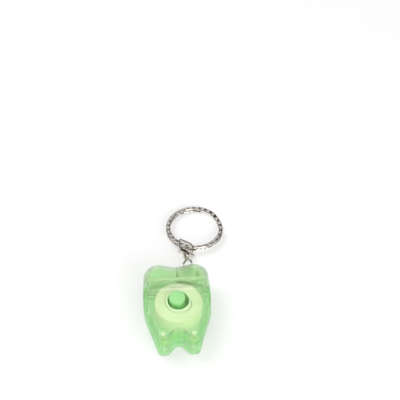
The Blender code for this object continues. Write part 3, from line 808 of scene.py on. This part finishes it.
def makeLid():
    lid = toothBlock("lid")
    thicken(lid)
    edit(lid)
    cut((0, tooth["hingeY"] + tooth["gap"] / 2, 0), crownward, clearInner=True)
    bridgeOpenEnds()
    leave()
    softenRims(lid)
    for side in (-1, 1):
        x = eyelets["x"] + side * eyelets["spread"] / 2
        halfWidth, halfHeight = eyelets["width"] / 2, eyelets["height"] / 2
        low = (x - halfWidth, eyelets["low"], eyelets["z"] - halfHeight)
        high = (x + halfWidth, eyelets["high"], eyelets["z"] + halfHeight)
        carve(lid, slab("eyelet", low, high, eyelets["rounding"], along=1))
    settle(lid)
    return lid


lidGreen = greenPlastic("lidGreen", back=(0.44, 0.84, 0.35), front=(0.62, 0.90, 0.49), haze=0.74)
lid = makeLid()
dress(lid, lidGreen, "lid", "lid_green", "flip_lid")


# The stamped cutter on the deck, with its raised tooth

cutter = {"x": 4.4, "z": 7.8, "width": 6.6, "length": 8.8, "back": 12.3, "thickness": 0.4, "corner": 0.9,
          "hole": 0.85, "window": 1.2, "windowCorner": 0.15, "toothInset": 0.1, "reach": 1.7, "lean": 1.5,
          "tipBack": 0.15, "tip": (0.35, 0.24), "rim": 0.05}


def makeCutter():
    front = cutter["back"] + cutter["thickness"]
    low = (cutter["x"] - cutter["width"] / 2, cutter["back"], cutter["z"] - cutter["length"] / 2)
    high = (cutter["x"] + cutter["width"] / 2, front, cutter["z"] + cutter["length"] / 2)
    plate = slab("cutter", low, high, cutter["corner"], along=1)
    for height in reversed(deckPeg["places"]):
        carve(plate, rod("hole", cutter["hole"], cutter["back"] - past, front + past, (cutter["x"], height),
                         "Y", steps=32))
    half = cutter["window"]
    low = (cutter["x"] - half, cutter["back"] - past, cutter["z"] - half)
    high = (cutter["x"] + half, front + past, cutter["z"] + half)
    carve(plate, slab("window", low, high, cutter["windowCorner"], along=1))
    root = cutter["x"] + half
    tongue = slab("tooth", (root, cutter["back"] + cutter["toothInset"], cutter["z"] - half),
                  (root + cutter["thickness"], front, cutter["z"] + half))
    edit(tongue)
    pick("FACE", lambda face: face.normal.x < -square)
    lean = half * cutter["lean"]
    pull(-lean, cutter["reach"] - cutter["thickness"] - cutter["tipBack"], 0)
    bpy.ops.transform.resize(value=(1, *cutter["tip"]), center_override=Vector((
        root - lean, cutter["back"] + cutter["reach"], cutter["z"])) * mm)
    leave()
    unite(plate, tongue)
    modify(plate, "BEVEL", width=cutter["rim"] * mm, segments=2, limit_method="ANGLE",
           angle_limit=math.radians(40))
    settle(plate)
    return plate


cutterPlate = makeCutter()
dress(cutterPlate, cutterSteel(), "case", "cutter_steel", "cutter_plate")


# The spool, the winding in fine turns, and the floss that leads to the cutter

winding = {
    "inner": 5.45, "outer": 9.9, "low": 3.4, "high": 11.8, "steps": 72,
    "thread": 0.42, "threadSides": 10,
    "threadRadius": 0.53,  # of the thread, so that the turns touch
    "edgeInset": 0.75,
    "ridgeDepth": 0.42,
    "ridge": ((0.2, 0.35), (0.5, 0.0), (0.8, 0.35), (1.0, 1.0)),  # shares of its width and its depth
}


def makeCore():
    core = sleeve("core", spool["inner"], spool["outer"], spool["low"], spool["high"],
                  (spool["x"], spool["y"]), rim=spool["rim"], steps=96)
    settle(core)
    return core


def makeWindingBody():
    # both faces show the turns of the layers as ridges, drawn as a profile and spun
    thread = winding["thread"]
    edge = winding["outer"] - thread * winding["edgeInset"]
    ridges = int((edge - winding["inner"]) / thread)
    width = (edge - winding["inner"]) / ridges
    depth = thread * winding["ridgeDepth"]
    profile = [(winding["inner"], winding["low"] + depth)]
    for k in range(ridges):
        start = winding["inner"] + width * k
        profile += [(start + width * share, winding["low"] + depth * lift)
                    for share, lift in winding["ridge"]]
    middle = winding["low"] + winding["high"]
    profile += [(radius, middle - height) for radius, height in reversed(profile)]
    x, z = profile[0]
    piece = startPoint("windingBody", spool["x"] + x, spool["y"], z)
    for spot in profile[1:]:
        pullPoint(spot[0] - x, 0, spot[1] - z)
        x, z = spot
    weld(0.0005)
    pick("EDGE", lambda edge: True)
    spin(winding["steps"], math.tau, (spool["x"], spool["y"], 0))
    weld(0.002)
    bridgeOpenEnds()
    faceOutward()
    leave()
    settle(piece, smooth=80)
    return piece


def makeTurns():
    # one round of thread, carried up the winding by a screw
    thread = winding["thread"]
    climb = winding["high"] - winding["low"] - thread
    turns = round(climb / thread)
    radius = thread * winding["threadRadius"]
    deselect()
    bpy.ops.mesh.primitive_circle_add(
        vertices=winding["threadSides"], radius=radius * mm, rotation=(math.pi / 2, 0, 0),
        location=((winding["outer"] - radius) * mm, 0, (winding["low"] + thread / 2) * mm))
    piece = bpy.context.object
    piece.name = "windingTurns"
    bpy.ops.object.transform_apply(location=True, rotation=True, scale=True)
    modify(piece, "SCREW", axis="Z", angle=math.tau, steps=winding["steps"], render_steps=winding["steps"],
           screw_offset=climb / turns * mm, iterations=turns, use_merge_vertices=False)
    edit(piece)
    fillOpenEnds()
    faceOutward()
    leave()
    piece.location = (spool["x"] * mm, spool["y"] * mm, 0)
    settle(piece, smooth=80)
    return piece


lead = {
    "thickness": 0.5,
    "route": (  # mm, the same points as the model's, from the winding through the outlet to the cutter
        (-5.592, 8.954, 8.4), (-3.683, 10.383, 8.4), (-2.85, 11.4, 8.4), (-2.017, 12.417, 8.4),
        (-1.183, 13.342, 8.4), (-0.1, 13.85, 8.1), (1.4, 13.85, 7.8), (2.9, 13.85, 7.8)),
}


def makeLead():
    deselect()
    bpy.ops.curve.primitive_nurbs_path_add()
    thread = bpy.context.object
    thread.name = "lead"
    curve = thread.data
    spline = curve.splines[0]
    spline.points.add(len(lead["route"]) - len(spline.points))
    for point, place in zip(spline.points, lead["route"]):
        point.co = (*(Vector(place) * mm), 1)
    spline.order_u = 4
    spline.use_endpoint_u = True
    curve.bevel_depth = lead["thickness"] / 2 * mm
    curve.bevel_resolution = 3
    curve.use_fill_caps = True
    choose(thread)
    bpy.ops.object.convert(target="MESH")
    thread = bpy.context.object
    settle(thread, smooth=80)
    return thread


floss = flossWhite()
core = makeCore()
dress(core, corePlastic(), "bobbin", "core_plastic", "bobbin_core")
windingBody = makeWindingBody()
dress(windingBody, floss, "bobbin", "floss", "floss_bulk")
windingTurns = makeTurns()
dress(windingTurns, floss, "bobbin", "floss", "floss_turns")
leadThread = makeLead()
dress(leadThread, floss, "case", "floss", "floss_lead")


# The chain: jump ring, swivel eye, stirrup and split ring

chain = {"x": 5.05, "height": 3.25, "droop": 10.44}
jumpRing = {"radius": 4.5, "wire": 0.45, "centre": (5.05, 19.487, 4.065), "steps": 96}
eye = {
    "radius": 2.6, "wire": 0.55, "y": 25.312, "roll": 45.0,
    "neck": ((0.0, 0.0), (0.55, 0.0), (1.1, 0.55), (0.95, 1.0)),  # radius and distance from the loop
    "shank": 0.75, "shankEnd": 0.85,
    "collarY": 29.562, "collar": 1.5, "collarLength": 1.3, "collarRound": 0.15,
    "headY": 32.962, "head": ((1.27, 0.0), (1.35, 0.08), (1.3, 0.25), (0.945, 0.43), (0.0, 0.5)),
}
stirrup = {"y": 31.062, "width": 7.8, "length": 7.4, "wire": 0.5, "plate": 1.7, "depth": 2.0, "bend": 1.2,
           "bendSteps": 10, "hole": 0.95, "edgeRound": 0.3, "roll": -38.0}
keyRing = {
    "radius": 11.55, "band": 1.9, "wire": 0.95, "turnGap": 0.3, "edgeRound": 0.4,
    "seat": (5.05, 35.162, 3.25), "yaw": -22.0, "drop": 5.13, "endsAt": 75.0,
    "ramp": 40.0,  # degrees over which the wire climbs from one turn to the next
    "steps": 160,
    "facets": 49, "cut": 0.08, "flats": (0.08, 0.42, 0.58, 0.92),
}


def makeJumpRing():
    deselect()
    bpy.ops.mesh.primitive_torus_add(
        major_radius=jumpRing["radius"] * mm, minor_radius=jumpRing["wire"] * mm,
        major_segments=jumpRing["steps"], minor_segments=16, location=Vector(jumpRing["centre"]) * mm,
        rotation=(math.radians(-chain["droop"]), 0, 0))
    ring = bpy.context.object
    ring.name = "jumpRing"
    edit(ring)
    # the gap where the wire's ends meet
    reach = jumpRing["radius"] * math.tau / jumpRing["steps"] * mm
    pick("FACE", lambda face: face.calc_center_median().x > 0 and 0 < face.calc_center_median().y < reach)
    bpy.ops.mesh.delete(type="FACE")
    fillOpenEnds()
    leave()
    settle(ring, smooth=50)
    return ring


def makeEye():
    # the loop and its turned stem in one
    deselect()
    bpy.ops.mesh.primitive_torus_add(
        major_radius=eye["radius"] * mm, minor_radius=eye["wire"] * mm, major_segments=72, minor_segments=16,
        location=(chain["x"] * mm, eye["y"] * mm, chain["height"] * mm),
        rotation=(0, math.radians(-eye["roll"]), 0))
    loop = bpy.context.object
    loop.name = "swivelEye"
    start = eye["y"] + eye["radius"]
    shank, collar, corner = eye["shank"], eye["collar"], eye["collarRound"]
    collarY, headY = eye["collarY"], eye["headY"]
    collarEnd = collarY + eye["collarLength"]
    profile = [(radius, start + along) for radius, along in eye["neck"]]
    profile += [(eye["shankEnd"], collarY), (collar - corner, collarY), (collar, collarY + corner),
                (collar, collarEnd - corner), (collar - corner, collarEnd), (shank, collarEnd),
                (shank, headY)]
    profile += [(radius, headY + along) for radius, along in eye["head"]]
    radius, y = profile[0]
    stem = startPoint("stem", chain["x"] + radius, y, chain["height"])
    for spot in profile[1:]:
        pullPoint(spot[0] - radius, spot[1] - y, 0)
        radius, y = spot
    selectAll()
    spin(32, math.tau, (chain["x"], 0, chain["height"]), (0, 1, 0))
    weld(0.002)
    faceOutward()
    leave()
    unite(loop, stem)
    settle(loop, smooth=35)
    return loop


def makeStirrup():
    # an end plate with the hole for the stem, and a bent wire from side to side
    half, wire, bend = stirrup["width"] / 2, stirrup["wire"], stirrup["bend"]
    plate = slab("swivelStirrup", (-half, 0, -stirrup["depth"] / 2),
                 (half, stirrup["plate"], stirrup["depth"] / 2), stirrup["edgeRound"])
    carve(plate, rod("hole", stirrup["hole"], -past, stirrup["plate"] + past, (0, 0), "Y", steps=32))
    deselect()
    bpy.ops.mesh.primitive_circle_add(
        vertices=20, radius=wire * mm, fill_type="NGON", rotation=(math.pi / 2, 0, 0),
        location=((wire - half) * mm, stirrup["plate"] / 2 * mm, 0))
    bow = bpy.context.object
    bpy.ops.object.transform_apply(location=True, rotation=True, scale=True)
    edit(bow)
    selectAll()
    side = stirrup["length"] - wire - bend - stirrup["plate"] / 2
    pull(0, side, 0)
    spin(stirrup["bendSteps"], math.pi / 2, (bend + wire - half, stirrup["plate"] / 2 + side, 0))
    pull(stirrup["width"] - 2 * (bend + wire), 0, 0)
    spin(stirrup["bendSteps"], math.pi / 2, (half - bend - wire, stirrup["plate"] / 2 + side, 0))
    pull(0, -side, 0)
    faceOutward()
    leave()
    unite(plate, bow)
    plate.location = (chain["x"] * mm, stirrup["y"] * mm, chain["height"] * mm)
    plate.rotation_euler = (0, math.radians(-stirrup["roll"]), 0)
    settle(plate, smooth=35)
    return plate


def makeKeyRing():
    # one facet's length of wire, repeated along a path of two turns and a ramp between them
    radius = keyRing["radius"]
    level = (keyRing["wire"] + keyRing["turnGap"]) / 2
    ramp = math.radians(keyRing["ramp"])
    first = math.radians(keyRing["endsAt"]) + ramp / 2
    sweep = 2 * math.tau - 2 * ramp
    steps = keyRing["steps"]
    path = startPoint("ringPath", radius * math.cos(first), radius + radius * math.sin(first), -level)
    height = -level
    for k in range(steps):
        along = sweep * (k + 1) / steps + ramp / 2
        climb = min(max((along - math.tau + ramp) / ramp, 0), 1)
        rise = -level + 2 * level * climb * climb * (3 - 2 * climb) - height
        spin(1, -sweep / steps, (0, radius, 0))
        shift(0, 0, rise)
        height += rise
    leave()
    bpy.ops.object.convert(target="CURVE")
    path = bpy.context.object
    path.data.dimensions = "3D"
    path.data.twist_mode = "Z_UP"
    length = radius * sweep
    piece = length / keyRing["facets"]
    halfBand, halfWire = keyRing["band"] / 2, keyRing["wire"] / 2
    ring = slab("splitRing", (0, -halfBand, -halfWire), (piece, halfBand, halfWire), keyRing["edgeRound"],
                along=0, steps=3)
    edit(ring)
    for share in keyRing["flats"]:
        cut((piece * share, 0, 0), (1, 0, 0))
    # flats that slope to one side, then to the other
    for side, low, high in ((1, *keyRing["flats"][:2]), (-1, *keyRing["flats"][2:])):
        for face in (1, -1):
            pick("VERT", lambda vertex: (low - 0.01) * piece < vertex.co.x / mm < (high + 0.01) * piece
                 and vertex.co.y * side * face > 0 and vertex.co.z * face > 0)
            shift(0, 0, -keyRing["cut"] * face)
    pick("FACE", lambda face: abs(face.normal.x) > square)
    bpy.ops.mesh.delete(type="FACE")
    leave()
    modify(ring, "ARRAY", count=keyRing["facets"], relative_offset_displace=(1, 0, 0),
           use_merge_vertices=True, merge_threshold=0.01 * mm)
    modify(ring, "CURVE", object=path, deform_axis="POS_X")
    bpy.data.objects.remove(path)
    edit(ring)
    fillOpenEnds()
    faceOutward()
    leave()
    yaw = Matrix.Rotation(math.radians(keyRing["yaw"]), 4, "Z")
    drop = Matrix.Rotation(math.radians(-keyRing["drop"]), 4, "X")
    ring.matrix_world = Matrix.Translation(Vector(keyRing["seat"]) * mm) @ yaw @ drop
    settle(ring, smooth=12)
    return ring


nickel = nickelPlate()
jumpRingPiece = makeJumpRing()
dress(jumpRingPiece, nickel, "ring_link", "nickel", "jump_ring")
eyePiece = makeEye()
dress(eyePiece, nickel, "eye", "nickel", "swivel_eye")
stirrupPiece = makeStirrup()
dress(stirrupPiece, nickel, "stirrup", "nickel", "swivel_stirrup")
keyRingPiece = makeKeyRing()
dress(keyRingPiece, nickel, "key_ring", "nickel", "split_ring")
